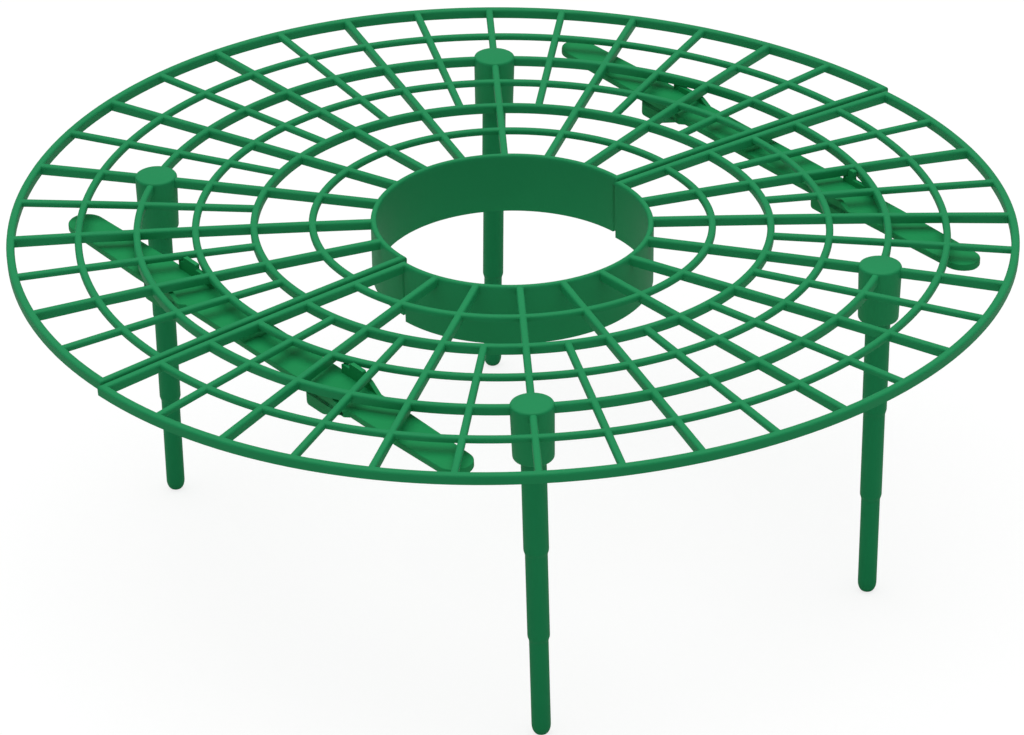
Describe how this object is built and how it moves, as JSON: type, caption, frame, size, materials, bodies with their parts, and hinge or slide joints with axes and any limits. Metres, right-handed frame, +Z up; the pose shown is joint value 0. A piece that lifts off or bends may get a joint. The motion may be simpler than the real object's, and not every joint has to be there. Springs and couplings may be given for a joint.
{
  "type": "strawberry growing rack",
  "caption": "Round plastic grid split across its middle, with a central collar for a plant, stepped push-in legs, and clip-on straps below that join its halves.",
  "frame": {"origin": "on the ground, midway between the leg tips, under the middle of the collar", "axes": "+X along the split between the half grids, +Y towards the back half, +Z up"},
  "size_m": [0.302, 0.3034, 0.11],
  "materials": {
    "grid_plastic": "moulded, satin",
    "leg_plastic": "moulded, satin"
  },
  "bodies": {
    "grid": {"back_half_grid": "grid_plastic", "front_half_grid": "grid_plastic"},
    "right_back_leg_body": {"right_back_leg": "leg_plastic"},
    "left_back_leg_body": {"left_back_leg": "leg_plastic"},
    "left_front_leg_body": {"left_front_leg": "leg_plastic"},
    "right_front_leg_body": {"right_front_leg": "leg_plastic"},
    "right_strap_body": {"right_strap": "grid_plastic"},
    "left_strap_body": {"left_strap": "grid_plastic"}
  },
  "joints": [
    {"name": "right_back_leg_pull", "type": "slide", "parent": "grid", "child": "right_back_leg_body", "axis": [-0.0215, 0, -0.9998], "range_m": [0, 0.018]},
    {"name": "left_back_leg_pull", "type": "slide", "parent": "grid", "child": "left_back_leg_body", "axis": [0.0215, 0, -0.9998], "range_m": [0, 0.018]},
    {"name": "left_front_leg_pull", "type": "slide", "parent": "grid", "child": "left_front_leg_body", "axis": [0.0215, 0, -0.9998], "range_m": [0, 0.018]},
    {"name": "right_front_leg_pull", "type": "slide", "parent": "grid", "child": "right_front_leg_body", "axis": [-0.0215, 0, -0.9998], "range_m": [0, 0.018]},
    {"name": "right_strap_unclip", "type": "slide", "parent": "grid", "child": "right_strap_body", "axis": [-0.0314, 0.0008, -0.9995], "range_m": [0, 0.02]},
    {"name": "left_strap_unclip", "type": "slide", "parent": "grid", "child": "left_strap_body", "axis": [0.0314, -0.0008, -0.9995], "range_m": [0, 0.02]}
  ]
}
